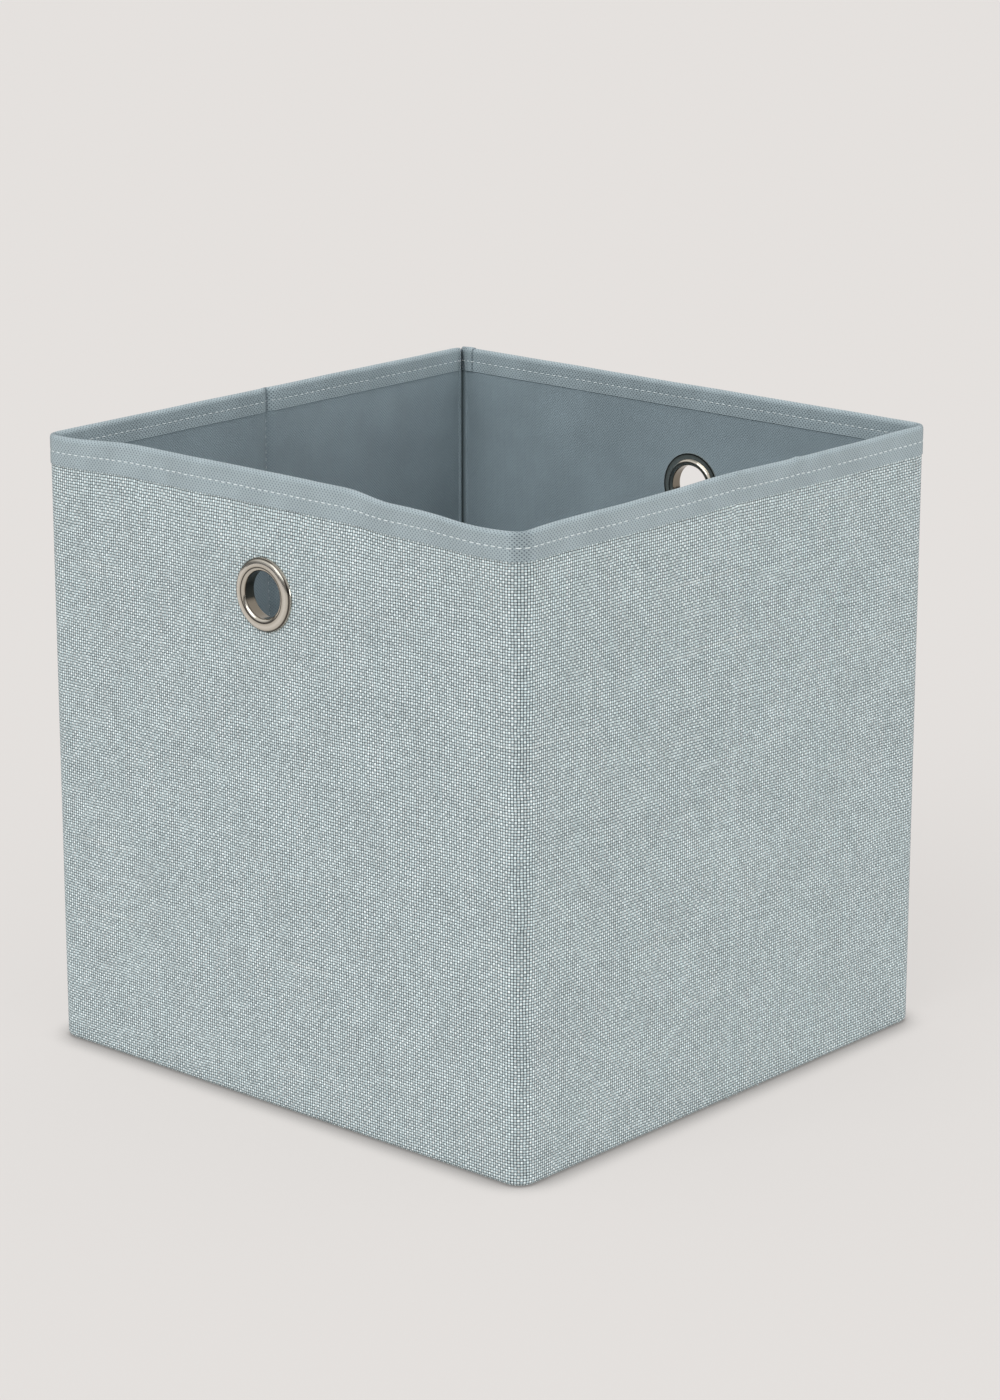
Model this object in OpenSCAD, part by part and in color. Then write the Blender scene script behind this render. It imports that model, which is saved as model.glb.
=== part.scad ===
// A foldable fabric storage bin: four cloth walls stiffened with card, a bound rim,
// two eyelets as finger pulls and a loose base board.
// Millimetres, +Z up, the front wall at -Y, the origin at the middle of the bottom.

/* [Body] */
// Width between the outer faces of the side walls
body_w = 280; // [260:1:330]
// Depth between the outer faces of the front and rear walls
body_d = 275; // [240:1:320]
// Height of the rim above the surface that it stands on
body_h = 280; // [200:1:330]
// Outer radius of the upright corners
corner_r = 9; // [7:0.5:12]

/* [Wall layers] */
// Thickness of the woven outer cloth
skin_t = 0.7; // [0.5:0.1:0.9]
// Thickness of the card in the walls
board_t = 2; // [1.5:0.1:2.5]
// Thickness of the non-woven lining
lining_t = 0.5; // [0.3:0.1:0.6]
// Half the width of the cardless strip at the middle of each side wall
fold_half = 4; // [3:0.5:6]
// Half the width of the seam that joins the cloth and the lining in that strip
seam_half = 0.6; // [0.4:0.1:1]

/* [Rim binding] */
// Thickness of the binding tape
tape_t = 0.4; // [0.3:0.1:0.5]
// How far the tape reaches down the outside
tape_outside = 12.8; // [10:0.2:16]
// How far the tape reaches down the inside
tape_inside = 11; // [8:0.2:14]
// Radius of the tape's two top edges
tape_edge_r = 1; // [0.8:0.1:1.2]

/* [Eyelets] */
// Diameter of the domed flange
flange_d = 32.4; // [28:0.2:40]
// Diameter of the open throat
throat_d = 20.6; // [18:0.2:22]
// Height of the flange over the cloth
flange_h = 2.2; // [1.5:0.1:3]
// Thickness of the metal
metal_t = 0.5; // [0.4:0.1:0.6]
// Height of the front eyelet's middle
front_eyelet_z = 230; // [150:1:250]
// How far the front eyelet's middle is to the right of the wall's middle
front_eyelet_x = -4; // [-20:1:20]
// Height of the rear eyelet's middle
rear_eyelet_z = 232; // [150:1:250]
// How far the rear eyelet's middle is to the right of the wall's middle
rear_eyelet_x = 7; // [-20:1:20]

/* [Base] */
// Thickness of the cloth under the bin
bottom_t = 0.8; // [0.6:0.1:1]
// Thickness of the card in the loose base
base_card_t = 2; // [1.5:0.1:3]
// Thickness of the non-woven cover round that card
base_cover_t = 0.3; // [0.2:0.1:0.4]
// Gap between the loose base and the lining
base_gap = 3; // [2.5:0.5:6]

/* [Hidden] */
wall_t = skin_t + board_t + lining_t;
board_face = skin_t;
lining_face = skin_t + board_t;

// Heights: the base stack, the bottom of the walls above it and the top under the tape.
base_bottom = bottom_t;
base_top = base_bottom + 2 * base_cover_t + base_card_t;
base_clearance = 0.4;
wall_bottom = base_top + base_clearance;
wall_top = body_h - tape_t;

// Where the flat part of each wall ends, along the wall from its middle.
flat_w = body_w / 2 - corner_r;
flat_d = body_d / 2 - corner_r;

// The loose base, inside the lining.
base_w = body_w - 2 * (wall_t + base_gap);
base_d = body_d - 2 * (wall_t + base_gap);
base_corner_r = 6;

// The eyelet: a barrel through the wall, rolled outwards over a washer on the lining.
throat_r = throat_d / 2;
flange_r = flange_d / 2;
crest_r = throat_r + 2.2;
lip_h = 0.6;
barrel_r = throat_r + metal_t;
barrel_clearance = 0.3;
hole_r = barrel_r + barrel_clearance;
washer_t = 0.5;
washer_r = flange_r - 0.2;
roll_r = 1.4;
roll_h = 1.2;
roll_start = wall_t + washer_t;
arc_steps = 10;

$fn = 96;

cloth = "LightSteelBlue";
card = "BurlyWood";
slate = "SlateGray";
tape = "LightSlateGray";
nickel = "Silver";

FLAT_WALLS = ["front", "rear", "left_front", "left_rear", "right_front", "right_rear"];
CORNERS = ["rear_right", "rear_left", "front_left_side", "front_left_front", "front_right"];
MIDDLES = ["left_fold", "right_fold"];
LAYERS = ["skin", "lining", "binding"];

// Points along an ellipse's arc, from one angle to another.
function arc(middle, radii, from, to) = [
    for (i = [0:arc_steps])
        let (a = from + (to - from) * i / arc_steps)
        [middle[0] + radii[0] * cos(a), middle[1] + radii[1] * sin(a)]
];

// Places a child on one wall. The child is drawn with X along the wall from its middle
// and Y inwards from the wall's outer face.
module on_wall(wall) {
    if (wall == "front") translate([0, -body_d / 2, 0]) children();
    if (wall == "rear") mirror([0, 1, 0]) translate([0, -body_d / 2, 0]) children();
    if (wall == "left") translate([-body_w / 2, 0, 0]) mirror([1, -1, 0]) children();
    if (wall == "right") mirror([1, 0, 0]) translate([-body_w / 2, 0, 0]) mirror([1, -1, 0]) children();
}

// The wall that a flat place is on, and where it starts and ends along that wall.
function wall_of(place) =
    place == "front" || place == "rear" ? place :
    place == "left_front" || place == "left_rear" ? "left" : "right";
function span_of(place) =
    place == "front" || place == "rear" ? [-flat_w, flat_w] :
    place == "left_front" || place == "right_front" ? [-flat_d, -fold_half] : [fold_half, flat_d];

// The first angle and the sweep of each corner strip, counted from +X. The front left
// corner is cut in two, because that is where the ring of walls is open.
function corner_turn(place) =
    place == "rear_right" ? [0, 90] :
    place == "rear_left" ? [90, 90] :
    place == "front_left_side" ? [180, 45] :
    place == "front_left_front" ? [225, 45] : [270, 90];
function corner_middle(place) = [
    place == "rear_right" || place == "front_right" ? flat_w : -flat_w,
    place == "rear_right" || place == "rear_left" ? flat_d : -flat_d
];

// A layer's outline as [depth from the outer face, height] points.
function layer_outline(near, far) =
    [[near, wall_bottom], [far, wall_bottom], [far, wall_top], [near, wall_top]];
function tape_outline() = concat(
    [[-tape_t, body_h - tape_outside]],
    arc([tape_edge_r - tape_t, body_h - tape_edge_r], [tape_edge_r, tape_edge_r], 180, 90),
    arc([wall_t + tape_t - tape_edge_r, body_h - tape_edge_r], [tape_edge_r, tape_edge_r], 90, 0),
    [
        [wall_t + tape_t, body_h - tape_inside], [wall_t, body_h - tape_inside],
        [wall_t, wall_top], [0, wall_top], [0, body_h - tape_outside]
    ]
);
function outline_of(layer) =
    layer == "skin" ? layer_outline(0, skin_t) :
    layer == "board" ? layer_outline(board_face, lining_face) :
    layer == "lining" ? layer_outline(lining_face, wall_t) : tape_outline();
function colour_of(layer) =
    layer == "skin" ? cloth : layer == "board" ? card : layer == "lining" ? slate : tape;

// The hole that an eyelet's barrel passes through.
module barrel_hole(x, z) {
    translate([x, -1, z]) rotate([-90, 0, 0]) cylinder(r = hole_r, h = wall_t + 2);
}

// One layer on the flat part of a wall.
module flat_layer(layer, place) {
    span = span_of(place);
    color(colour_of(layer)) on_wall(wall_of(place)) difference() {
        translate([span[0], 0, 0]) rotate([90, 0, 90])
            linear_extrude(span[1] - span[0]) polygon(outline_of(layer));
        if (place == "front") barrel_hole(front_eyelet_x, front_eyelet_z);
        if (place == "rear") barrel_hole(rear_eyelet_x, rear_eyelet_z);
    }
}

// One cloth layer round a corner.
module corner_layer(layer, place) {
    turn = corner_turn(place);
    color(colour_of(layer)) translate(corner_middle(place)) rotate([0, 0, turn[0]])
        rotate_extrude(angle = turn[1])
            polygon([for (p = outline_of(layer)) [corner_r - p[0], p[1]]]);
}

// The lining's plan in the middle strip: it dips to the cloth, where both are sewn.
module dipped_band(near, far) {
    step = wall_t - skin_t - lining_t;
    polygon([
        [-fold_half, near], [-seam_half, near - step], [seam_half, near - step], [fold_half, near],
        [fold_half, far], [seam_half, far - step], [-seam_half, far - step], [-fold_half, far]
    ]);
}

// The tape's top in the middle strip, from its outside leg to the dipped inside leg.
module dipped_top() {
    step = wall_t - skin_t - lining_t;
    polygon([
        [-fold_half, -tape_t], [fold_half, -tape_t], [fold_half, wall_t + tape_t],
        [seam_half, wall_t + tape_t - step], [-seam_half, wall_t + tape_t - step],
        [-fold_half, wall_t + tape_t]
    ]);
}

module fold_skin() {
    translate([-fold_half, 0, wall_bottom]) cube([2 * fold_half, skin_t, wall_top - wall_bottom]);
}

module fold_lining() {
    translate([0, 0, wall_bottom]) linear_extrude(wall_top - wall_bottom)
        dipped_band(lining_face, wall_t);
}

module fold_binding() {
    translate([-fold_half, -tape_t, body_h - tape_outside])
        cube([2 * fold_half, tape_t, tape_outside - tape_t]);
    translate([0, 0, wall_top]) linear_extrude(tape_t) dipped_top();
    translate([0, 0, body_h - tape_inside]) linear_extrude(tape_inside - tape_t)
        dipped_band(wall_t, wall_t + tape_t);
}

// One cloth layer in the cardless strip at the middle of a side wall.
module middle_layer(layer, place) {
    color(colour_of(layer)) on_wall(place == "left_fold" ? "left" : "right") {
        if (layer == "skin") fold_skin();
        if (layer == "lining") fold_lining();
        if (layer == "binding") fold_binding();
    }
}

// Places a child on the front or rear eyelet's axis, with +Z out of the bin.
module on_eyelet(wall) {
    if (wall == "front")
        translate([front_eyelet_x, -body_d / 2, front_eyelet_z]) rotate([90, 0, 0]) children();
    if (wall == "rear")
        translate([rear_eyelet_x, body_d / 2, rear_eyelet_z]) rotate([-90, 0, 0]) children();
}

// The eyelet's metal sheet as [radius, height out of the cloth] points: the dome from
// the throat to the rim, back under it, down the barrel and round the roll inside.
function eyelet_outline() = concat(
    arc([crest_r, lip_h], [crest_r - throat_r, flange_h - lip_h], 180, 90),
    arc([crest_r, 0], [flange_r - crest_r, flange_h], 90, 0),
    arc([crest_r, 0], [flange_r - crest_r - metal_t, flange_h - metal_t], 0, 90),
    arc([crest_r, lip_h], [crest_r - barrel_r, flange_h - lip_h - metal_t], 90, 180),
    arc([throat_r + roll_r, -roll_start], [roll_r - metal_t, roll_h - metal_t], 180, 360),
    arc([throat_r + roll_r, -roll_start], [roll_r, roll_h], 360, 180)
);

module eyelet(wall) {
    color(nickel) on_eyelet(wall) rotate_extrude() polygon(eyelet_outline());
}

module washer(wall) {
    color(nickel) on_eyelet(wall) translate([0, 0, -wall_t - washer_t]) difference() {
        cylinder(r = washer_r, h = washer_t);
        translate([0, 0, -1]) cylinder(r = hole_r, h = washer_t + 2);
    }
}

// A rectangle with round corners.
module rounded_plan(w, d, r) {
    square([w - 2 * r, d], center = true);
    square([w, d - 2 * r], center = true);
    for (x = [-1, 1], y = [-1, 1])
        translate([x * (w / 2 - r), y * (d / 2 - r)]) circle(r);
}

module bottom_cloth() {
    color(cloth) linear_extrude(bottom_t) rounded_plan(body_w, body_d, corner_r);
}

// The woven cloth between the bottom and the walls' lower edge.
module bottom_hem() {
    color(cloth) translate([0, 0, bottom_t]) linear_extrude(wall_bottom - bottom_t) difference() {
        rounded_plan(body_w, body_d, corner_r);
        rounded_plan(body_w - 2 * skin_t, body_d - 2 * skin_t, corner_r - skin_t);
    }
}

// A slab of the loose base, smaller all round by an inset.
module base_slab(bottom, thickness, inset) {
    translate([0, 0, bottom]) linear_extrude(thickness)
        rounded_plan(base_w - 2 * inset, base_d - 2 * inset, base_corner_r - inset);
}

module base_card() {
    color(card) base_slab(base_bottom + base_cover_t, base_card_t, base_cover_t);
}

module base_cover_bottom() {
    color(slate) base_slab(base_bottom, base_cover_t, 0);
}

module base_cover_top() {
    color(slate) difference() {
        base_slab(base_bottom + base_cover_t, base_card_t + base_cover_t, 0);
        base_slab(base_bottom, base_cover_t + base_card_t, base_cover_t);
    }
}

for (layer = LAYERS, place = FLAT_WALLS)
    flat_layer(layer, place);
for (place = FLAT_WALLS)
    flat_layer("board", place);
for (layer = LAYERS, place = CORNERS)
    corner_layer(layer, place);
for (layer = LAYERS, place = MIDDLES)
    middle_layer(layer, place);
eyelet("front");  // eyelet_front
washer("front");  // washer_front
eyelet("rear");  // eyelet_rear
washer("rear");  // washer_rear
bottom_cloth();
bottom_hem();
base_card();
base_cover_top();
base_cover_bottom();
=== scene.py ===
"""The looks of a foldable cloth storage bin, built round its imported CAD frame. Metres, +Z up."""

import math
import random

import bmesh
import bpy
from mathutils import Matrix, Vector


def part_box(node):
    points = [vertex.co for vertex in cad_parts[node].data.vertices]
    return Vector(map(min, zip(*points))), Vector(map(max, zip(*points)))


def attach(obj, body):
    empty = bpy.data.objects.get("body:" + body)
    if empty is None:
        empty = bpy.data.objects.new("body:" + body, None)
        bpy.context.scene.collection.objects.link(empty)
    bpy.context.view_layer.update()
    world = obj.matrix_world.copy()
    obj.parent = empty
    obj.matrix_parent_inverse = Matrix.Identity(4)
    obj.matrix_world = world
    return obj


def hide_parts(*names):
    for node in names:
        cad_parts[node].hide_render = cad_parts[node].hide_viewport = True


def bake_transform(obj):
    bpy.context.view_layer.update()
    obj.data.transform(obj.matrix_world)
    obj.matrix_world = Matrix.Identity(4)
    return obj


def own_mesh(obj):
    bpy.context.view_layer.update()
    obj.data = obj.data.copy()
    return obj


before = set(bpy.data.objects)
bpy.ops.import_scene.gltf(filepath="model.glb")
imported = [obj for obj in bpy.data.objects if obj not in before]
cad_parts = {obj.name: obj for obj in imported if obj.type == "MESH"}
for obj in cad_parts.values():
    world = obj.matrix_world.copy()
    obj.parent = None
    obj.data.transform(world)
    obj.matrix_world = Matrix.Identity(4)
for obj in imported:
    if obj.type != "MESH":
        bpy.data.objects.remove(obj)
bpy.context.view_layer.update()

MM = 0.001

# ---------------------------------------------------------------- sizes, from the frame
bottom_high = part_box("bottom_cloth")[1]
skin_low, skin_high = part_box("skin_front")
board_low, board_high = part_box("board_front")
lining_low, lining_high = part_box("lining_front")
tape_low, tape_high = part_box("binding_front")

HALF_W = bottom_high.x
HALF_D = bottom_high.y
HEIGHT = tape_high.z
CORNER_R = HALF_W - skin_high.x
SKIN_T = skin_high.y - skin_low.y
BOARD_T = board_high.y - board_low.y
LINING_T = lining_high.y - lining_low.y
WALL_T = SKIN_T + BOARD_T + LINING_T
TAPE_T = skin_low.y - tape_low.y
TAPE_OUT = HEIGHT - tape_low.z
TAPE_IN = 11 * MM
WALL_BOTTOM = skin_low.z
FOLD_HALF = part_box("skin_right_fold")[1].y
BOTTOM_T = bottom_high.z

# The cloth and card end a little under the tape, which rounds over them.
TOP_ROUND = (WALL_T + 2 * TAPE_T) / 2 - 0.03 * MM
LAYER_TOP = HEIGHT - TOP_ROUND

# ---------------------------------------------------------------- the loop of four walls
# A place on the walls is s, the length along the outer face counter-clockwise from the
# front left corner's middle, t, the depth inwards from that face, and z.
FRONT, RIGHT, REAR, LEFT = range(4)
QUARTER = math.pi * CORNER_R / 2
FLATS = [2 * (HALF_W - CORNER_R), 2 * (HALF_D - CORNER_R)] * 2
REACH = [HALF_D, HALF_W] * 2
LOOP = 4 * QUARTER + sum(FLATS)


def wall_start(wall):
    """s where a wall's flat part begins."""
    return QUARTER / 2 + sum(FLATS[:wall]) + wall * QUARTER


def wall_s(wall, offset=0.0):
    """s at a distance along a wall from its middle: +X on the front, +Y on the right."""
    return wall_start(wall) + FLATS[wall] / 2 + offset


def turned(angle):
    """The unit vector at an angle from +X."""
    return Vector((math.cos(angle), math.sin(angle), 0))


def loop_at(s):
    """The point of the outer face at s, and the outward normal there."""
    wall = max(k for k in range(4) if k == 0 or s >= wall_start(k))
    along = s - wall_start(wall)
    facing = math.radians(90 * (wall - 1))
    normal, tangent = turned(facing), turned(facing + math.pi / 2)
    if 0 <= along <= FLATS[wall]:
        return normal * REACH[wall] + tangent * (along - FLATS[wall] / 2), normal
    end = 0 if along < 0 else FLATS[wall]
    middle = normal * (REACH[wall] - CORNER_R) + tangent * (end - FLATS[wall] / 2)
    outward = turned(facing + (along - end) / CORNER_R)
    return middle + outward * CORNER_R, outward


def corner_turn(s):
    """How far s has turned from the nearer wall, in radians, and 0 on a flat wall."""
    _, outward = loop_at(s)
    angle = math.atan2(outward.y, outward.x) % (math.pi / 2)
    return min(angle, math.pi / 2 - angle)


RIGHT_FOLD = wall_s(RIGHT)
LEFT_FOLD = wall_s(LEFT)
REAR_LEFT = wall_start(LEFT) - QUARTER / 2
LAP_END = wall_start(REAR) + FLATS[REAR] - 1.0 * MM
RIM_CREASE = RIGHT_FOLD + 42 * MM


def smooth(x, low=0.0, high=1.0):
    """0 below low, 1 above high, and a smooth step between."""
    x = min(max((x - low) / (high - low), 0.0), 1.0)
    return x * x * (3 - 2 * x)


def hill(x, middle, half_width):
    """A bell of height 1 round a middle."""
    return math.exp(-(((x - middle) / half_width) ** 2))


# ---------------------------------------------------------------- how the cloth departs from flat
EYELET_AT = {}
for wall in ("front", "rear"):
    low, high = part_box("eyelet_" + wall)
    EYELET_AT[wall] = (low + high) / 2
EYELET_PLACES = [
    (wall_s(FRONT, EYELET_AT["front"].x), EYELET_AT["front"].z),
    (wall_s(REAR, -EYELET_AT["rear"].x), EYELET_AT["rear"].z),
]
FLANGE_R = (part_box("eyelet_front")[1].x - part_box("eyelet_front")[0].x) / 2
THROAT_R = 10.3 * MM
CORNERS = [wall_start(wall) - QUARTER / 2 for wall in range(4)] + [LOOP]
BOW_BOTTOM = EYELET_AT["front"].z + 18 * MM


def rim_share(z):
    """How much of the rim's own movement a height takes part in."""
    return max(0.0, (z - BOW_BOTTOM) / (HEIGHT - BOW_BOTTOM)) ** 1.4


def slack(s):
    """Where the front rim stands loose, from 0 to 1, falling off in a step on the right."""
    x = s - wall_s(FRONT)
    return smooth(x, -128 * MM, -84 * MM) * (1 - smooth(x, 38 * MM, 68 * MM))


def rim_in(s):
    """How far the rim leans into the bin."""
    return (
        2.8 * MM * slack(s)
        - 2.0 * MM * hill(s, wall_s(FRONT, 111 * MM), 24 * MM)
    )


def rim_up(s):
    """How far the rim stands over its own height."""
    return (
        2.0 * MM * slack(s)
        - 1.6 * MM * hill(s, wall_s(FRONT, 120 * MM), 24 * MM)
        + 1.0 * MM * hill(s, RIGHT_FOLD - 2 * MM, 30 * MM)
        + 0.5 * MM * hill(s, RIGHT_FOLD, 2.2 * MM)
        + 0.45 * MM * hill(s, RIM_CREASE, 2.6 * MM)
    )


def ripple(s, z):
    """The slight unevenness of cloth laid on card, which dies out at edges and eyelets."""
    waves = (
        math.sin(s * 76 + 1.3) * math.sin(z * 57 + 0.7)
        + 0.6 * math.sin(s * 151 + z * 83)
        + 0.5 * math.sin(s * 43 - z * 131 + 2.1)
    )
    calm = smooth(z, WALL_BOTTOM, 30 * MM)
    calm *= smooth(min(abs(s - corner) for corner in CORNERS), 6 * MM, 30 * MM)
    for eyelet_s, eyelet_z in EYELET_PLACES:
        away = math.hypot(s - eyelet_s, z - eyelet_z)
        calm *= smooth(away, 18 * MM, 44 * MM)
    return 0.2 * MM * waves * calm


def place(s, t, z):
    """The point at a place on the walls."""
    point, normal = loop_at(s)
    inward = t + rim_in(s) * rim_share(z) + ripple(s, z)
    point = point - normal * inward
    point.z = z + rim_up(s) * rim_share(z)
    return point


def lining_face(s):
    """The depth of the lining's inner face: it dips to the cloth at folds and corners."""
    depth = WALL_T
    dip = WALL_T - SKIN_T - LINING_T
    for fold in (RIGHT_FOLD, LEFT_FOLD):
        near = 1 - min(abs(s - fold) / FOLD_HALF, 1)
        depth -= dip * near**1.15
    turn = corner_turn(s)
    if turn > 0:
        reach = (CORNER_R - WALL_T) / math.cos(turn)
        depth = CORNER_R - min(reach, CORNER_R - SKIN_T - LINING_T - 0.1 * MM)
    # In the rear left corner a pinched edge stands beside the seam's groove.
    depth += 1.5 * MM * hill(s, REAR_LEFT + 1.7 * MM, 0.75 * MM)
    depth += 0.7 * MM * hill(s, REAR_LEFT - 1.9 * MM, 0.8 * MM)
    return depth


def stretch_and_shade(s):
    """1 where a corner stretches the cloth, 0 on the flat walls; there the cloth and the tape are
    painted darker as shade.
    """
    return smooth(corner_turn(s) / (math.pi / 4), 0.1, 0.85)


def lining_seam_shade(s, z):
    """1 in the seam of the rear left corner, where the lining is painted darker as shade."""
    return hill(s, REAR_LEFT + 0.25 * MM, 0.75 * MM)


def tape_crease_shade(s, z):
    """1 in the tape's creases, where the tape is painted darker as shade: the slanting corner seam,
    the lapped end, the left fold.
    """
    seam = REAR_LEFT + 0.9 * MM - 0.18 * (HEIGHT - z)
    return max(
        hill(s, seam, 0.6 * MM),
        0.6 * hill(s, LAP_END, 0.4 * MM),
        0.75 * hill(s, LEFT_FOLD, 0.8 * MM),
    )


def fold_seam_highlight(s, z):
    """1 where the middle seams pull the outer cloth; the cloth is painted lighter there, a painted
    highlight.
    """
    return max(hill(s, fold, 1.3 * MM) for fold in (RIGHT_FOLD, LEFT_FOLD))


def no_groove(s, z):
    """For a layer without creases."""
    return 0.0


# ---------------------------------------------------------------- mesh building
def finish_mesh(name, bm, material, sharp=40):
    """An object from a bmesh, with smooth faces between sharp edges."""
    bmesh.ops.recalc_face_normals(bm, faces=bm.faces)
    mesh = bpy.data.meshes.new(name)
    bm.to_mesh(mesh)
    bm.free()
    mesh.polygons.foreach_set("use_smooth", [True] * len(mesh.polygons))
    mesh.set_sharp_from_angle(angle=math.radians(sharp))
    mesh.materials.append(material)
    piece = bpy.data.objects.new(name, mesh)
    bpy.context.scene.collection.objects.link(piece)
    return piece


def sweep(name, stations, outline, runs, material, groove=no_groove):
    """A closed strip: an outline of (t, z) points at each station, joined along the loop.
    runs gives each outline point's place across the cloth, and one more where it closes."""
    bm = bmesh.new()
    uv = bm.loops.layers.uv.new("cloth")
    stretch_shade_layer = bm.verts.layers.float.new("stretch_and_shade")
    grooved = bm.verts.layers.float.new("groove")
    rings = []
    for s in stations:
        ring = []
        for t, z in outline(s):
            vert = bm.verts.new(place(s, t, z))
            vert[stretch_shade_layer] = stretch_and_shade(s)
            vert[grooved] = groove(s, z)
            ring.append(vert)
        rings.append(ring)
    count = len(rings[0])
    for i in range(len(stations) - 1):
        for j in range(count):
            k = (j + 1) % count
            face = bm.faces.new((rings[i][j], rings[i + 1][j], rings[i + 1][k], rings[i][k]))
            corners = ((i, j), (i + 1, j), (i + 1, j + 1), (i, j + 1))
            for loop, (a, b) in zip(face.loops, corners):
                loop[uv].uv = (stations[a], runs[b])
    for ring, s in ((rings[0][::-1], stations[0]), (rings[-1], stations[-1])):
        face = bm.faces.new(ring)
        for loop in face.loops:
            loop[uv].uv = (s, loop.vert.co.z)
    return finish_mesh(name, bm, material)


def steps(low, high, size):
    """Even steps from low to high, none longer than size."""
    count = max(1, math.ceil((high - low) / size - 1e-9))
    return [low + (high - low) * i / count for i in range(count + 1)]


FINE = [
    (wall_start(k) - QUARTER, wall_start(k), 14) for k in range(1, 4)
] + [
    (0.0, QUARTER / 2, 8),
    (LOOP - QUARTER / 2, LOOP, 8),
    (RIGHT_FOLD - FOLD_HALF, RIGHT_FOLD + FOLD_HALF, 20),
    (LEFT_FOLD - FOLD_HALF, LEFT_FOLD + FOLD_HALF, 20),
]
COARSE = 4 * MM


def stations_between(low, high, extra=()):
    """Where a strip has its outlines: close together at corners and folds."""
    marks = {low, high}
    for a, b, count in FINE:
        for i in range(count + 1):
            s = a + (b - a) * i / count
            if low < s < high:
                marks.add(s)
    for middle, half_width in extra:
        for i in range(-8, 9):
            s = middle + i * half_width / 4
            if low < s < high:
                marks.add(s)
    marks = sorted(marks)
    marks = [m for i, m in enumerate(marks) if i == 0 or m - marks[i - 1] > 1e-6]
    full = [marks[0]]
    for a, b in zip(marks, marks[1:]):
        full += steps(a, b, COARSE)[1:]
    return full


def layer_outline(outer, inner):
    """The outline and runs of a layer between two depths, each a number or a function of s."""
    heights = steps(WALL_BOTTOM, LAYER_TOP, 6 * MM)

    def depth(value, s):
        return value(s) if callable(value) else value

    def outline(s):
        near, far = depth(outer, s), depth(inner, s)
        return [(near, z) for z in heights] + [(far, z) for z in reversed(heights)]

    runs = heights + heights[::-1] + [heights[0]]
    return outline, runs


STITCH_DROP_OUT = 7.0 * MM
STITCH_DROP_IN = 6.2 * MM
LAP_T = 0.45 * MM


def tape_face(s):
    """The depth of the tape's inner leg where it lies on the lining."""
    return max(lining_face(s), SKIN_T + LINING_T + 0.05 * MM)


def lapped(s):
    """The tape's added thickness where its ends lap, in the rear left corner."""
    return LAP_T * smooth(s, LAP_END - 0.15 * MM, LAP_END + 0.15 * MM) * (
        1 - smooth(s, REAR_LEFT - 0.3 * MM, REAR_LEFT + 0.3 * MM)
    )


def tape_outline():
    """The tape's U over the rim, with a shallow channel where it is stitched."""
    out_leg = steps(HEIGHT - TAPE_OUT, HEIGHT - TOP_ROUND, 0.6 * MM)
    in_leg = steps(HEIGHT - TAPE_IN, HEIGHT - TOP_ROUND, 0.6 * MM)
    turns = 10

    def channel(z, drop):
        return 0.16 * MM * hill(z, HEIGHT - drop, 0.55 * MM)

    def outline(s):
        inner = tape_face(s)
        middle = inner / 2
        cut = 0.9 * MM * hill(s, REAR_LEFT + 0.9 * MM, 0.5 * MM)
        thick = TAPE_T + lapped(s)
        outer_r = inner / 2 + thick
        rise = TOP_ROUND + lapped(s) - cut
        points = [(-TAPE_T + channel(z, STITCH_DROP_OUT), z) for z in out_leg]
        for i in range(1, turns):
            a = math.pi * i / turns
            swell = 1 if a > math.pi / 2 else TAPE_T / thick
            points.append(
                (middle - outer_r * swell * math.cos(a), HEIGHT - TOP_ROUND + rise * math.sin(a))
            )
        for z in reversed(in_leg):
            dent = channel(z, STITCH_DROP_IN) + cut * hill(s, REAR_LEFT, 3 * MM)
            points.append((inner + thick - dent * 0.9, z))
        points += [(inner, z) for z in in_leg]
        for i in range(turns - 1, 0, -1):
            a = math.pi * i / turns
            under = (TOP_ROUND - TAPE_T - cut) * math.sin(a)
            points.append((middle - inner / 2 * math.cos(a), HEIGHT - TOP_ROUND + under))
        points += [(0.0, z) for z in reversed(out_leg)]
        return points

    over = math.pi * TOP_ROUND
    side = [z - HEIGHT for z in out_leg]
    top = [side[-1] + over * i / turns for i in range(1, turns)]
    back = [side[-1] + over + (in_leg[-1] - z) for z in reversed(in_leg)]
    runs = side + top + back
    runs = runs + runs[::-1] + [runs[0]]
    return outline, runs


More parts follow.
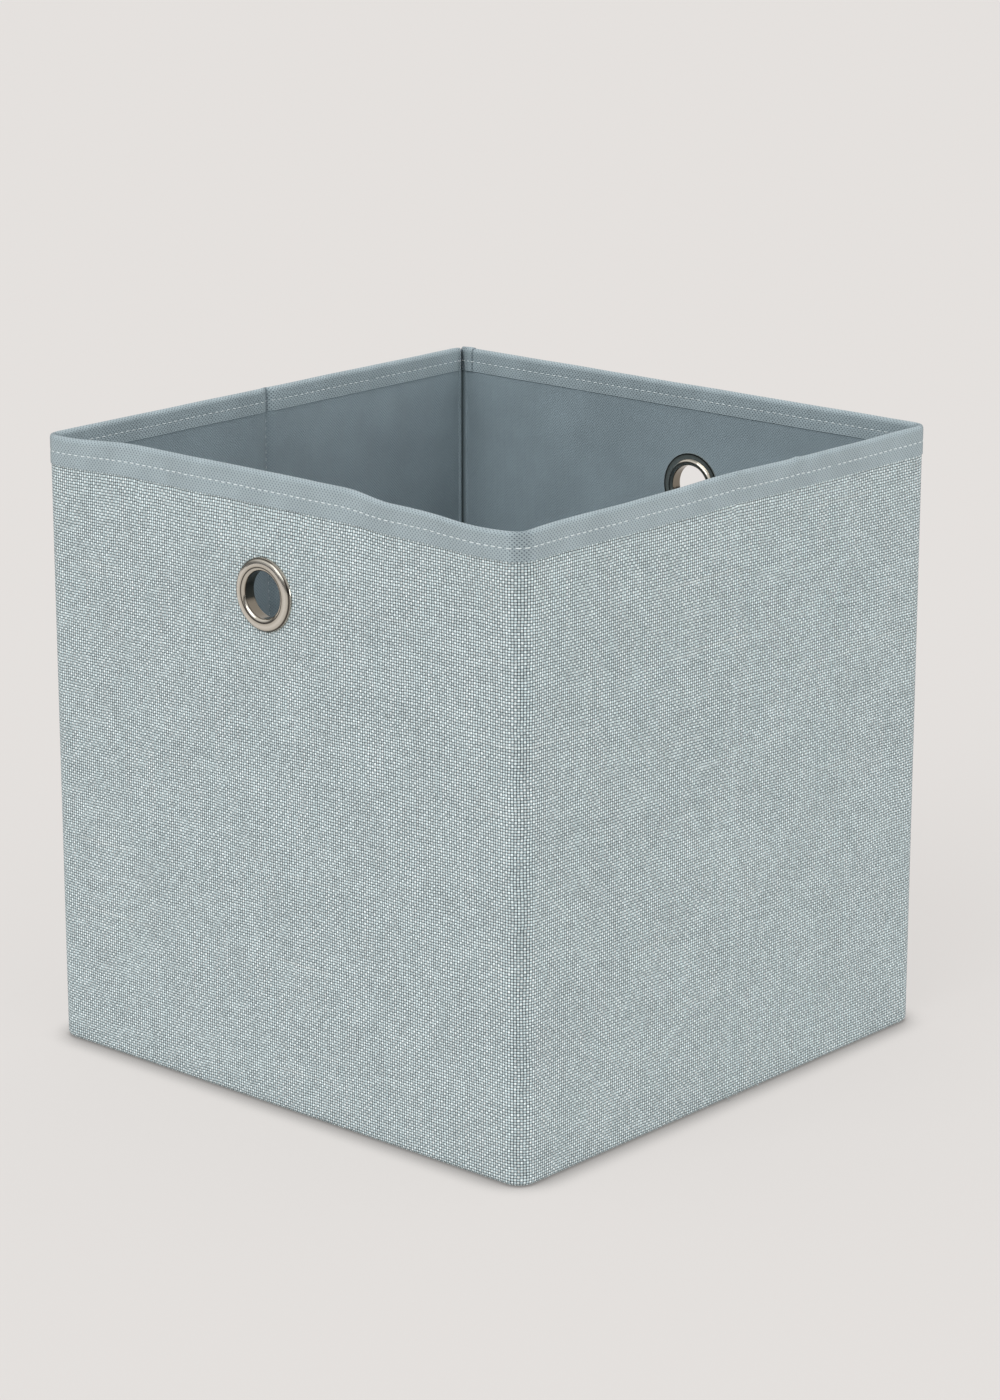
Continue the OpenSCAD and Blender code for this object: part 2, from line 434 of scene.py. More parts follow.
# ---------------------------------------------------------------- node helpers
class Graph:
    """Short ways to add shader nodes to a material or a world, and to join them."""

    def __init__(self, owner):
        owner.use_nodes = True
        self.owner = owner
        self.nodes = owner.node_tree.nodes
        self.links = owner.node_tree.links
        self.shader = self.nodes.get("Principled BSDF")

    def put(self, socket, value):
        """Joins another node's socket to this one, or sets its number or colour."""
        if isinstance(value, bpy.types.NodeSocket):
            self.links.new(value, socket)
        else:
            socket.default_value = value

    def math(self, operation, *values):
        node = self.nodes.new("ShaderNodeMath")
        node.operation = operation
        for socket, value in zip(node.inputs, values):
            self.put(socket, value)
        return node.outputs[0]

    def add(self, a, b):
        return self.math("ADD", a, b)

    def times(self, a, b):
        return self.math("MULTIPLY", a, b)

    def ramp(self, value, low, high, to_low=0.0, to_high=1.0):
        """A smooth step of the value from one range to another."""
        node = self.nodes.new("ShaderNodeMapRange")
        node.interpolation_type = "SMOOTHSTEP"
        for socket, number in zip(node.inputs, (value, low, high, to_low, to_high)):
            self.put(socket, number)
        return node.outputs[0]

    def vector(self, x, y, z=0.0):
        node = self.nodes.new("ShaderNodeCombineXYZ")
        for socket, value in zip(node.inputs, (x, y, z)):
            self.put(socket, value)
        return node.outputs[0]

    def cloth(self):
        """The two lengths of the cloth coordinates, in metres."""
        node = self.nodes.new("ShaderNodeUVMap")
        node.uv_map = "cloth"
        split = self.nodes.new("ShaderNodeSeparateXYZ")
        self.links.new(node.outputs[0], split.inputs[0])
        return split.outputs[0], split.outputs[1]

    def mark(self, name):
        """A number stored at the piece's vertices, and 0 where it has none."""
        node = self.nodes.new("ShaderNodeAttribute")
        node.attribute_name = name
        return node.outputs["Fac"]

    def place(self):
        """The piece's own coordinates, in metres."""
        node = self.nodes.new("ShaderNodeTexCoord")
        return node.outputs["Object"]

    def noise(self, vector, scale, detail=2.0, roughness=0.5):
        node = self.nodes.new("ShaderNodeTexNoise")
        node.inputs["Scale"].default_value = scale
        node.inputs["Detail"].default_value = detail
        node.inputs["Roughness"].default_value = roughness
        self.links.new(vector, node.inputs["Vector"])
        return node.outputs["Fac"]

    def random(self, vector):
        """A random number from 0 to 1 for each place."""
        node = self.nodes.new("ShaderNodeTexWhiteNoise")
        node.noise_dimensions = "3D"
        self.links.new(vector, node.inputs["Vector"])
        return node.outputs["Value"]

    def mix(self, share, a, b):
        node = self.nodes.new("ShaderNodeMix")
        node.data_type = "RGBA"
        self.put(node.inputs["Factor"], share)
        self.put(node.inputs["A"], a)
        self.put(node.inputs["B"], b)
        return node.outputs["Result"]

    def brighter(self, colour, factor):
        """The colour times a number."""
        node = self.nodes.new("ShaderNodeVectorMath")
        node.operation = "SCALE"
        self.put(node.inputs[0], colour[:3] if isinstance(colour, tuple) else colour)
        self.put(node.inputs["Scale"], factor)
        return node.outputs[0]

    def bump(self, height, distance):
        """Fine relief on the material's surface."""
        node = self.nodes.new("ShaderNodeBump")
        node.inputs["Strength"].default_value = 1.0
        node.inputs["Distance"].default_value = distance
        self.links.new(height, node.inputs["Height"])
        self.links.new(node.outputs[0], self.shader.inputs["Normal"])

    def surface(self, colour, roughness, specular, sheen=0.0, metallic=0.0):
        self.put(self.shader.inputs["Base Color"], colour)
        self.put(self.shader.inputs["Roughness"], roughness)
        self.shader.inputs["Specular IOR Level"].default_value = specular
        self.shader.inputs["Sheen Weight"].default_value = sheen
        self.shader.inputs["Metallic"].default_value = metallic


def material_graph(name):
    """A graph in a new material."""
    return Graph(bpy.data.materials.new(name))


def colour(red, green, blue):
    """A shader colour from the 0 to 255 numbers of a colour picker."""

    def linear(c):
        c /= 255
        return c / 12.92 if c <= 0.04045 else ((c + 0.055) / 1.055) ** 2.4

    return (linear(red), linear(green), linear(blue), 1.0)


# ---------------------------------------------------------------- materials
THREAD_U = 1.32 * MM
THREAD_V = 1.25 * MM


def warped(g, along, drift, pitch):
    """A cloth coordinate counted in threads, which wander a little."""
    return g.math("DIVIDE", g.add(along, g.times(g.math("SUBTRACT", drift, 0.5), 1.6 * MM)), pitch)


def off_middle(g, counted):
    """How far a place is from its thread's middle, from 0 to a half."""
    return g.math("ABSOLUTE", g.math("SUBTRACT", g.math("FRACT", counted), 0.5))


def thread_height(g, across_it, along_it):
    """A thread is round across and dives under its neighbours at both ends."""
    width = g.ramp(across_it, 0.5, 0.26)
    dive = g.ramp(along_it, 0.6, 0.14, 0.12, 1.0)
    return g.times(width, dive)


def yarn_colour(g, u, v, column, row, upright_on_top):
    """Each thread has its own tone, which changes along it, with a few thick slubs."""
    column_tone = g.noise(g.vector(g.times(column, 7.31), g.times(v, 26)), 1.0, 2)
    row_tone = g.noise(g.vector(g.times(row, 5.17), g.times(u, 22), 4.0), 1.0, 2)
    spot_tone = g.random(g.vector(column, row, 1.0))
    slub = g.ramp(g.noise(g.vector(g.times(row, 3.7), g.times(u, 9), 9.0), 1.0, 1), 0.66, 0.78)
    pale = g.mix(column_tone, colour(218, 238, 240), colour(252, 255, 255))
    grey = g.mix(row_tone, colour(172, 190, 195), colour(222, 238, 241))
    grey = g.mix(g.times(slub, 0.7), grey, colour(226, 236, 236))
    yarn = g.mix(upright_on_top, grey, pale)
    return g.brighter(yarn, g.ramp(spot_tone, 0.0, 1.0, 0.84, 1.1))


def woven_material():
    """Plain weave: pale threads upright, grey ones across, and dark gaps between, painted as shade;
    also painted shade round the corners and a painted highlight along the middle folds.
    """
    g = material_graph("woven_cloth")
    u, v = g.cloth()
    place_2d = g.vector(u, v)
    across = warped(g, u, g.noise(place_2d, 55, 2), THREAD_U)
    up = warped(g, v, g.noise(g.vector(v, u, 0.3), 48, 2), THREAD_V)
    column = g.math("FLOOR", across)
    row = g.math("FLOOR", up)
    in_column = off_middle(g, across)
    in_row = off_middle(g, up)
    upright_on_top = g.math("FLOORED_MODULO", g.add(column, row), 2.0)
    top = g.add(
        g.times(thread_height(g, in_column, in_row), upright_on_top),
        g.times(thread_height(g, in_row, in_column), g.math("SUBTRACT", 1.0, upright_on_top)),
    )
    yarn = yarn_colour(g, u, v, column, row, upright_on_top)
    # Painted shade: the lower a thread lies, the darker it is drawn, so the gaps between threads and
    # the ends where they dive under are dark.
    cloth = g.mix(g.ramp(top, 0.1, 0.7), colour(34, 45, 51), yarn)
    cloth = g.brighter(cloth, g.ramp(g.noise(place_2d, 38, 3, 0.6), 0.3, 0.7, 1.01, 1.08))
    # Painted shade: darker round the corners.
    cloth = g.brighter(cloth, g.ramp(g.mark("stretch_and_shade"), 0.0, 1.0, 1.0, 0.86))
    # Painted highlight: lighter along the middle folds' seams.
    cloth = g.brighter(cloth, g.ramp(g.mark("groove"), 0.0, 1.0, 1.0, 1.07))
    g.surface(cloth, 0.85, 0.25, 0.15)
    g.bump(top, 0.28 * MM)
    return g.owner


def lattice(g, a, b, pitch, low, high):
    """Dots in a staggered lattice: 1 in a dot's middle, 0 outside it."""
    x = g.math("DIVIDE", g.add(a, b), pitch)
    y = g.math("DIVIDE", g.math("SUBTRACT", a, b), pitch)
    x = g.math("SUBTRACT", g.math("FRACT", x), 0.5)
    y = g.math("SUBTRACT", g.math("FRACT", y), 0.5)
    away = g.math("SQRT", g.add(g.times(x, x), g.times(y, y)))
    return g.ramp(away, high, low)


def tape_material():
    """Spunbond tape: a fine lattice of pressed dots on matt grey-blue fibres, with painted shade
    round the corners and in its creases.
    """
    g = material_graph("binding_tape")
    a, b = g.cloth()
    corner_stretch_and_shade = g.mark("stretch_and_shade")
    dots = lattice(g, a, b, 1.8 * MM, 0.12, 0.36)
    fibres = g.noise(g.vector(a, g.times(b, 2.6)), 900, 3, 0.7)
    cloud = g.noise(g.vector(a, b), 60, 2)
    base = g.mix(fibres, colour(150, 163, 168), colour(183, 196, 200))
    base = g.brighter(base, g.ramp(cloud, 0.3, 0.7, 0.94, 1.05))
    # Painted shade: the tape is darker round the corners.
    base = g.brighter(base, g.ramp(corner_stretch_and_shade, 0.0, 1.0, 1.0, 0.82))
    shade = g.mix(g.times(dots, g.ramp(corner_stretch_and_shade, 0.0, 1.0, 0.72, 1.0)), base, colour(84, 96, 106))
    # Painted shade in the tape's creases.
    shade = g.mix(g.times(g.mark("groove"), 0.85), shade, colour(74, 86, 94))
    g.surface(shade, g.ramp(dots, 0.0, 1.0, 0.78, 0.6), 0.35, 0.1)
    g.bump(g.add(g.times(dots, -1.0), g.times(fibres, 0.25)), 0.16 * MM)
    return g.owner


def lining_material():
    """The lining: the same kind of cloth, thinner and slate grey, with finer dots, and painted shade
    in the rear left corner's seam.
    """
    g = material_graph("lining_cloth")
    a, b = g.cloth()
    dots = lattice(g, a, b, 1.5 * MM, 0.12, 0.4)
    fibres = g.noise(g.vector(a, g.times(b, 1.8)), 700, 3, 0.7)
    cloud = g.noise(g.vector(a, b), 26, 4, 0.6)
    base = g.mix(fibres, colour(134, 148, 155), colour(158, 172, 178))
    base = g.brighter(base, g.ramp(cloud, 0.25, 0.75, 0.9, 1.08))
    shade = g.mix(g.times(dots, 0.5), base, colour(104, 117, 124))
    # Painted shade in the seam of the rear left corner.
    shade = g.mix(g.times(g.mark("groove"), 0.9), shade, colour(52, 64, 62))
    g.surface(shade, 0.72, 0.3, 0.12)
    g.bump(g.add(g.times(dots, -1.0), g.times(fibres, 0.3)), 0.12 * MM)
    return g.owner


def thread_material(name, dark, light, roughness, specular):
    """Sewing thread, twisted."""
    g = material_graph(name)
    twist = g.noise(g.place(), 2600, 2)
    g.surface(g.mix(twist, dark, light), roughness, specular, 0.2)
    g.bump(twist, 0.08 * MM)
    return g.owner


def card_material():
    """Grey-brown board with flecks of pulp."""
    g = material_graph("grey_card")
    spot = g.place()
    flecks = g.noise(spot, 900, 4, 0.7)
    cloud = g.noise(spot, 60, 2)
    base = g.mix(flecks, colour(150, 140, 124), colour(188, 178, 160))
    g.surface(g.brighter(base, g.ramp(cloud, 0.3, 0.7, 0.92, 1.06)), 0.85, 0.25)
    g.bump(flecks, 0.05 * MM)
    return g.owner


def nickel_material(wall):
    """Polished nickel plate round one eyelet, with painted reflections in rings round its axis: a
    light band, thin dark rings near the throat and the outer edge, and painted shade in the throat.
    """
    g = material_graph("polished_nickel_" + wall)
    spot = g.place()
    marks = g.noise(spot, 260, 3, 0.6)
    scratches = g.noise(spot, 2400, 2, 0.8)
    split = g.nodes.new("ShaderNodeSeparateXYZ")
    g.links.new(spot, split.inputs[0])
    x = g.math("SUBTRACT", split.outputs["X"], EYELET_AT[wall].x)
    z = g.math("SUBTRACT", split.outputs["Z"], EYELET_AT[wall].z)
    radius = g.math("SQRT", g.add(g.times(x, x), g.times(z, z)))

    def ring(middle, half_width):
        away = g.math("ABSOLUTE", g.math("SUBTRACT", radius, middle))
        return g.ramp(away, 0.0, half_width, 1.0, 0.0)

    tint = g.mix(marks, colour(190, 184, 172), colour(204, 198, 187))
    # Painted reflection: a light band on the flange.
    tint = g.mix(g.times(ring(FLANGE_R - 2.4 * MM, 1.5 * MM), 0.6), tint, colour(232, 227, 218))
    # Painted reflections: thin dark rings, one beside the throat and one near the outer edge.
    painted_dark_rings = g.add(ring(THROAT_R + 1.7 * MM, 0.5 * MM), ring(FLANGE_R - 0.6 * MM, 0.6 * MM))
    tint = g.mix(g.math("MINIMUM", painted_dark_rings, 0.95), tint, colour(48, 43, 37))
    # Painted shade in the throat.
    tint = g.mix(g.times(ring(THROAT_R, 0.5 * MM), 0.8), tint, colour(104, 94, 80))
    g.surface(tint, g.ramp(marks, 0.3, 0.75, 0.12, 0.2), 0.5, 0.0, 1.0)
    g.bump(scratches, 0.002 * MM)
    return g.owner


WOVEN = woven_material()
TAPE = tape_material()
LINING = lining_material()
# White thread on the tape and the lining, and grey thread in the outer seams and their cut ends.
THREAD = thread_material(
    "sewing_thread", colour(206, 216, 217), colour(246, 250, 250), 0.6, 0.4
)
SEAM_THREAD = thread_material(
    "seam_thread", colour(150, 163, 165), colour(196, 207, 207), 0.7, 0.3
)
CARD = card_material()
NICKEL = {wall: nickel_material(wall) for wall in ("front", "rear")}

# ---------------------------------------------------------------- the strips of the walls
# Each strip crosses one joint and ends on two rigid walls.
HALF_PANEL = HALF_D / 2
BLEND_HALF = 2.4 * MM


def corner_ends(x_sign, y_sign):
    """Where a corner's bend begins and ends: on the front or rear wall, then on a side wall."""
    on_wall = (x_sign * (HALF_W - CORNER_R), y_sign * HALF_D, 0)
    on_side = (x_sign * HALF_W, y_sign * (HALF_D - CORNER_R), 0)
    return on_wall, on_side


def fold_ends(x_sign):
    """Where a side wall's middle fold begins and ends, from the front to the rear."""
    return (x_sign * HALF_W, -BLEND_HALF, 0), (x_sign * HALF_W, BLEND_HALF, 0)


STRIPS = [
    {
        "name": "front",
        "span": (0.0, wall_s(RIGHT, -HALF_PANEL)),
        "bodies": ("front_wall", "right_front"),
        "ends": corner_ends(1, -1),
        "places": ["front", "front_right", "front_left_front"],
        "eyelet": "front",
    },
    {
        "name": "right_fold",
        "span": (wall_s(RIGHT, -HALF_PANEL), wall_s(RIGHT, HALF_PANEL)),
        "bodies": ("right_front", "right_rear"),
        "ends": fold_ends(1),
        "places": ["right_front", "right_fold"],
    },
    {
        "name": "rear_right",
        "span": (wall_s(RIGHT, HALF_PANEL), wall_s(REAR, HALF_PANEL)),
        "bodies": ("rear_wall", "right_rear"),
        "ends": corner_ends(1, 1),
        "places": ["right_rear", "rear_right"],
        "eyelet": "rear",
    },
    {
        "name": "rear_left",
        "span": (wall_s(REAR, HALF_PANEL), wall_s(LEFT, -HALF_PANEL)),
        "bodies": ("rear_wall", "left_rear"),
        "ends": corner_ends(-1, 1),
        "places": ["rear", "rear_left", "left_rear"],
    },
    {
        "name": "left_fold",
        "span": (wall_s(LEFT, -HALF_PANEL), LOOP),
        "bodies": ("left_front", "left_rear"),
        "ends": fold_ends(-1),
        "places": ["left_front", "left_fold", "front_left_side"],
    },
]


def follow(piece):
    """Bakes the piece's placement into its mesh."""
    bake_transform(piece)


HOLE_R = 11.1 * MM


def pierce(piece, wall):
    """Cuts an eyelet's hole through a wall layer."""
    bpy.ops.mesh.primitive_cylinder_add(
        vertices=64,
        radius=HOLE_R,
        depth=30 * MM,
        location=EYELET_AT[wall],
        rotation=(math.pi / 2, 0, 0),
    )
    cutter = bpy.context.object
    cut = piece.modifiers.new("hole", "BOOLEAN")
    cut.operation = "DIFFERENCE"
    cut.solver = "EXACT"
    cut.object = cutter
    shape = piece.evaluated_get(bpy.context.evaluated_depsgraph_get())
    cut_mesh = bpy.data.meshes.new_from_object(shape)
    piece.modifiers.clear()
    piece.data = cut_mesh
    cut_mesh.name = piece.name
    bpy.data.objects.remove(cutter)


def make_layer(strip, prefix, node_prefix, shape, material, groove):
    """One layer of one strip, which stands for that layer's CAD nodes."""
    stations = stations_between(*strip["span"], CREASES)
    piece = sweep(prefix + "_" + strip["name"], stations, *shape, material, groove)
    if "eyelet" in strip and node_prefix != "binding":
        pierce(piece, strip["eyelet"])
    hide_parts(*[node_prefix + "_" + p for p in strip["places"]])
    return piece


skin_shape = layer_outline(0.0, SKIN_T)
lining_shape = layer_outline(lambda s: max(lining_face(s) - LINING_T, SKIN_T), lining_face)
tape_shape = tape_outline()
CREASES = [(LAP_END, 0.5 * MM), (REAR_LEFT, 1.6 * MM), (RIM_CREASE, 2.6 * MM)]

for strip in STRIPS:
    skin = make_layer(strip, "outer_cloth", "skin", skin_shape, WOVEN, fold_seam_highlight)
    lining = make_layer(strip, "inner_lining", "lining", lining_shape, LINING, lining_seam_shade)
    tape = make_layer(strip, "rim_tape", "binding", tape_shape, TAPE, tape_crease_shade)
    for piece in (skin, lining, tape):
        follow(piece)

# ---------------------------------------------------------------- card in the walls
BOARD_SPANS = {
    "front": (wall_start(FRONT), wall_start(FRONT) + FLATS[FRONT], "front_wall"),
    "right_front": (wall_start(RIGHT), RIGHT_FOLD - FOLD_HALF, "right_front"),
    "right_rear": (RIGHT_FOLD + FOLD_HALF, wall_start(RIGHT) + FLATS[RIGHT], "right_rear"),
    "rear": (wall_start(REAR), wall_start(REAR) + FLATS[REAR], "rear_wall"),
    "left_rear": (wall_start(LEFT), LEFT_FOLD - FOLD_HALF, "left_rear"),
    "left_front": (LEFT_FOLD + FOLD_HALF, wall_start(LEFT) + FLATS[LEFT], "left_front"),
}
board_outline, board_runs = layer_outline(SKIN_T, SKIN_T + BOARD_T)

for where, (low_s, high_s, body) in BOARD_SPANS.items():
    stations = stations_between(low_s, high_s)
    board = sweep("card_" + where, stations, board_outline, board_runs, CARD)
    if where in ("front", "rear"):
        pierce(board, where)
    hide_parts("board_" + where)
    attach(board, body)


# ---------------------------------------------------------------- flat cloth with rounded edges
def rounded_ring(half_w, half_d, radius, count):
    """The (x, y) points of a rounded rectangle, counter-clockwise from its front right corner."""
    points = []
    for k, (sx, sy) in enumerate(((1, -1), (1, 1), (-1, 1), (-1, -1))):
        middle = Vector((sx * (half_w - radius), sy * (half_d - radius)))
        for i in range(count + 1):
            angle = math.radians(-90 + 90 * k + 90 * i / count)
            points.append(middle + radius * Vector((math.cos(angle), math.sin(angle))))
    return points


def dish(name, half_w, half_d, radius, profile, material, rim_index=0):
    """A closed solid from a profile of (inset, z), from the middle below to the middle above.
    From rim_index the cloth coordinates are the walls' own, so that the weave runs on."""
    bm = bmesh.new()
    uv = bm.loops.layers.uv.new("cloth")
    rings, runs = [], [0.0]
    for i, (inset, z) in enumerate(profile):
        ring = rounded_ring(half_w - inset, half_d - inset, max(radius - inset, 0.4 * MM), 10)
        rings.append([bm.verts.new((p.x, p.y, z)) for p in ring])
        if i:
            runs.append(runs[-1] + math.dist(profile[i - 1], profile[i]))
    outermost = min(range(len(profile)), key=lambda i: profile[i][0])
    lift = profile[rim_index][1] - runs[rim_index]
    count = len(rings[0])
    around = [wall_start(FRONT) + FLATS[FRONT]]
    for p, q in zip(rings[outermost], rings[outermost][1:] + rings[outermost][:1]):
        around.append(around[-1] + (q.co - p.co).length)
    for i in range(len(rings) - 1):
        for j in range(count):
            k = (j + 1) % count
            face = bm.faces.new((rings[i][j], rings[i][k], rings[i + 1][k], rings[i + 1][j]))
            corners = ((i, j), (i, j + 1), (i + 1, j + 1), (i + 1, j))
            lap = LOOP if around[j] > LOOP - 0.1 * MM else 0.0
            for loop, (a, b) in zip(face.loops, corners):
                loop[uv].uv = (around[b] - lap, runs[a] + lift)
    for ring in (rings[0][::-1], rings[-1]):
        face = bm.faces.new(ring)
        for loop in face.loops:
            loop[uv].uv = loop.vert.co.xy
    return finish_mesh(name, bm, material)


EDGE_R = 2.4 * MM
edge = [
    (EDGE_R * (1 - math.sin(a)), EDGE_R * (1 - math.cos(a)))
    for a in (math.pi / 2 * i / 6 for i in range(7))
]
# Insets where the flat middle faces of the tray and of the base begin.
TRAY_FLAT = CORNER_R - 1 * MM
BASE_R = 6 * MM
BASE_FLAT = BASE_R - 1 * MM
tray_profile = [(TRAY_FLAT, 0.0)] + edge + [(0.0, WALL_BOTTOM), (SKIN_T, WALL_BOTTOM)]
tray_profile += [(SKIN_T + 0.2 * MM, BOTTOM_T + 1.2 * MM), (SKIN_T + 1.6 * MM, BOTTOM_T)]
tray_profile += [(TRAY_FLAT, BOTTOM_T)]
tray = dish("bottom_tray", HALF_W, HALF_D, CORNER_R, tray_profile, WOVEN, len(edge) + 1)
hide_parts("bottom_cloth", "bottom_hem")
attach(tray, "rear_wall")
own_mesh(tray)

# The base: card in a cover of two sheets, joined round the edge.
cover_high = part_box("base_cover_top")[1]
under_low, under_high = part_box("base_cover_bottom")
COVER_T = under_high.z - under_low.z
base_half = cover_high.xy
cover_profile = [
    (BASE_FLAT, cover_high.z - COVER_T),
    (1.3 * MM, cover_high.z - COVER_T),
    (COVER_T, cover_high.z - 1.1 * MM),
    (COVER_T, under_high.z),
    (0.0, under_high.z),
    (0.0, cover_high.z - 1.2 * MM),
    (0.45 * MM, cover_high.z - 0.35 * MM),
    (1.3 * MM, cover_high.z),
    (BASE_FLAT, cover_high.z),
]
cover = dish("base_cover", *base_half, BASE_R, cover_profile, LINING)
under_profile = [
    (BASE_FLAT, under_low.z),
    (0.1 * MM, under_low.z),
    (0.0, under_high.z),
    (BASE_FLAT, under_high.z),
]
under = dish("base_underside", *base_half, BASE_R, under_profile, LINING)
for piece, node in ((cover, "base_cover_top"), (under, "base_cover_bottom")):
    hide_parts(node)
    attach(piece, "base_insert")

# ---------------------------------------------------------------- the lapped seam at the open corner
PIVOT = Vector((-(HALF_W - CORNER_R / 2), -(HALF_D - CORNER_R / 2)))
TONGUE_R = 1.9 * MM
TONGUE_T = 0.45 * MM
TONGUE_START = 235
TONGUE_TURN = 95
TONGUE_STEPS = 16


def make_tongue():
    """A strip of cloth in the open corner, which covers the gap when the bin is folded."""
    bm = bmesh.new()
    uv = bm.loops.layers.uv.new("cloth")
    rings = []
    for i in range(TONGUE_STEPS + 1):
        outward = turned(math.radians(TONGUE_START - TONGUE_TURN * i / TONGUE_STEPS))
        ring = []
        for radius in (TONGUE_R, TONGUE_R - TONGUE_T):
            for z in (WALL_BOTTOM, LAYER_TOP - 1 * MM):
                ring.append(bm.verts.new((*(PIVOT + radius * outward.xy), z)))
        rings.append([ring[0], ring[1], ring[3], ring[2]])
    for i in range(TONGUE_STEPS):
        for j in range(4):
            k = (j + 1) % 4
            bm.faces.new((rings[i][j], rings[i][k], rings[i + 1][k], rings[i + 1][j]))
    bm.faces.new(rings[0])
    bm.faces.new(rings[-1][::-1])
    for face in bm.faces:
        for loop in face.loops:
            angle = math.atan2(loop.vert.co.y - PIVOT.y, loop.vert.co.x - PIVOT.x)
            loop[uv].uv = (-TONGUE_R * (angle % (2 * math.pi)), loop.vert.co.z)
    return finish_mesh("corner_lap", bm, WOVEN)


tongue = make_tongue()
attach(tongue, "front_wall")

# ---------------------------------------------------------------- stitches
THREAD_R = 0.22 * MM
SEAM_THREAD_R = 0.26 * MM
TAIL_R = 0.16 * MM
DASH = 2.3 * MM
DASH_STEPS = 6
PITCH = 3.7 * MM
SIDES = 6
random.seed(7)


def add_thread(bm, path, radius):
    """A round thread along a path of points, closed at both ends."""
    rings = []
    for i, here in enumerate(path):
        ahead = path[min(i + 1, len(path) - 1)] - path[max(i - 1, 0)]
        side = ahead.cross(Vector((0, 0, 1)))
        if side.length < 1e-9:
            side = ahead.cross(Vector((0, 1, 0)))
        side.normalize()
        up = side.cross(ahead).normalized()
        ring = []
        for k in range(SIDES):
            a = 2 * math.pi * k / SIDES
            ring.append(bm.verts.new(here + radius * (math.cos(a) * side + math.sin(a) * up)))
        rings.append(ring)
    for one, two in zip(rings, rings[1:]):
        for k in range(SIDES):
            j = (k + 1) % SIDES
            bm.faces.new((one[k], one[j], two[j], two[k]))
    bm.faces.new(rings[0][::-1])
    bm.faces.new(rings[-1])


def dash_path(start, end, depth, z, sink):
    """A stitch along the loop, which rises out of the cloth and goes back in."""
    path = []
    for i in range(DASH_STEPS + 1):
        share = i / DASH_STEPS
        s = start + (end - start) * share
        low = sink * abs(2 * share - 1) ** 3
        path.append(place(s, depth(s) + low, z))
    return path


def stitch_row(name, strip, depth, z, sink):
    """A row of running stitches along one strip."""
    bm = bmesh.new()
    low, high = strip["span"]
    for i in range(math.ceil(low / PITCH), math.floor(high / PITCH)):
        start = i * PITCH + random.uniform(-0.12, 0.12) * MM
        length = DASH + random.uniform(-0.2, 0.2) * MM
        if start > low and start + length < high:
            tilt = random.uniform(-0.08, 0.08) * MM
            add_thread(bm, dash_path(start, start + length, depth, z + tilt, sink), THREAD_R)
    piece = finish_mesh(name, bm, THREAD, 80)
    follow(piece)


def stitch_seat(s):
    """The depth of the inner stitches, which the middle folds press into the tape."""
    pressed = 0.2 * MM * max(hill(s, fold, 3 * MM) for fold in (RIGHT_FOLD, LEFT_FOLD))
    return tape_face(s) + TAPE_T + lapped(s) - 0.02 * MM - pressed


for strip in STRIPS:
    stitch_row(
        "stitches_outside_" + strip["name"],
        strip,
        lambda s: -TAPE_T + 0.02 * MM,
        HEIGHT - STITCH_DROP_OUT,
        0.45 * MM,
    )
    stitch_row(
        "stitches_inside_" + strip["name"],
        strip,
        stitch_seat,
        HEIGHT - STITCH_DROP_IN,
        -0.45 * MM,
    )


def seam_row(name, s, depth, low_z, high_z, sink, material):
    """A row of stitches up a wall at a middle fold."""
    bm = bmesh.new()
    count = int((high_z - low_z) / PITCH)
    for i in range(count):
        start = low_z + i * PITCH + random.uniform(-0.1, 0.1) * MM
        path = []
        for k in range(DASH_STEPS + 1):
            low = sink * abs(2 * k / DASH_STEPS - 1) ** 3
            path.append(place(s, depth + low, start + DASH * k / DASH_STEPS))
        add_thread(bm, path, SEAM_THREAD_R)
    piece = finish_mesh(name, bm, material, 80)
    follow(piece)


SEAM_LOW = WALL_BOTTOM + 4 * MM
for fold_s, strip, side in ((RIGHT_FOLD, STRIPS[1], "right"), (LEFT_FOLD, STRIPS[4], "left")):
    top_out = HEIGHT - TAPE_OUT - 1 * MM
    top_in = HEIGHT - TAPE_IN - 1 * MM
    seam_row(
        "seam_outside_" + side, fold_s, 0.16 * MM, SEAM_LOW, top_out, 0.4 * MM, SEAM_THREAD
    )
    inner = lining_face(fold_s) - 0.1 * MM
    seam_row("seam_inside_" + side, fold_s, inner, SEAM_LOW, top_in, -0.4 * MM, THREAD)


def thread_tails():
    """Cut ends of sewing thread at the foot of the right wall's seam."""
    bm = bmesh.new()
    for offset, drop, out in ((-3, 3.2, 1.6), (1, 1.4, 2.6), (17, 2.0, 2.2)):
        path = []
        for k in range(8):
            share = k / 7
            s = RIGHT_FOLD + (offset + 2.2 * share) * MM
            z = (4.0 - drop * share + 0.5 * math.sin(share * 5)) * MM
            path.append(place(s, (0.2 - out * share**1.5) * MM, z))
        add_thread(bm, path, TAIL_R)
    piece = finish_mesh("thread_tails", bm, SEAM_THREAD, 80)
    follow(piece)


thread_tails()

# ---------------------------------------------------------------- metal and card from the frame
for name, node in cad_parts.items():
    # A node that a piece replaces isn't rendered, but it has a material all the same.
    if node.hide_render:
        finish = CARD if name.startswith("board") else LINING
    else:
        metal = name.startswith(("eyelet", "washer"))
        finish = NICKEL[name.split("_")[1]] if metal else CARD
    node.data.materials.clear()
    node.data.materials.append(finish)
    node.data.polygons.foreach_set("use_smooth", [True] * len(node.data.polygons))
    node.data.set_sharp_from_angle(angle=math.radians(35))


# ---------------------------------------------------------------- floor, light and camera
FLOOR = colour(228, 224, 221)
FLOOR_SHADED = 0.22
FLOOR_GLOW = 0.76


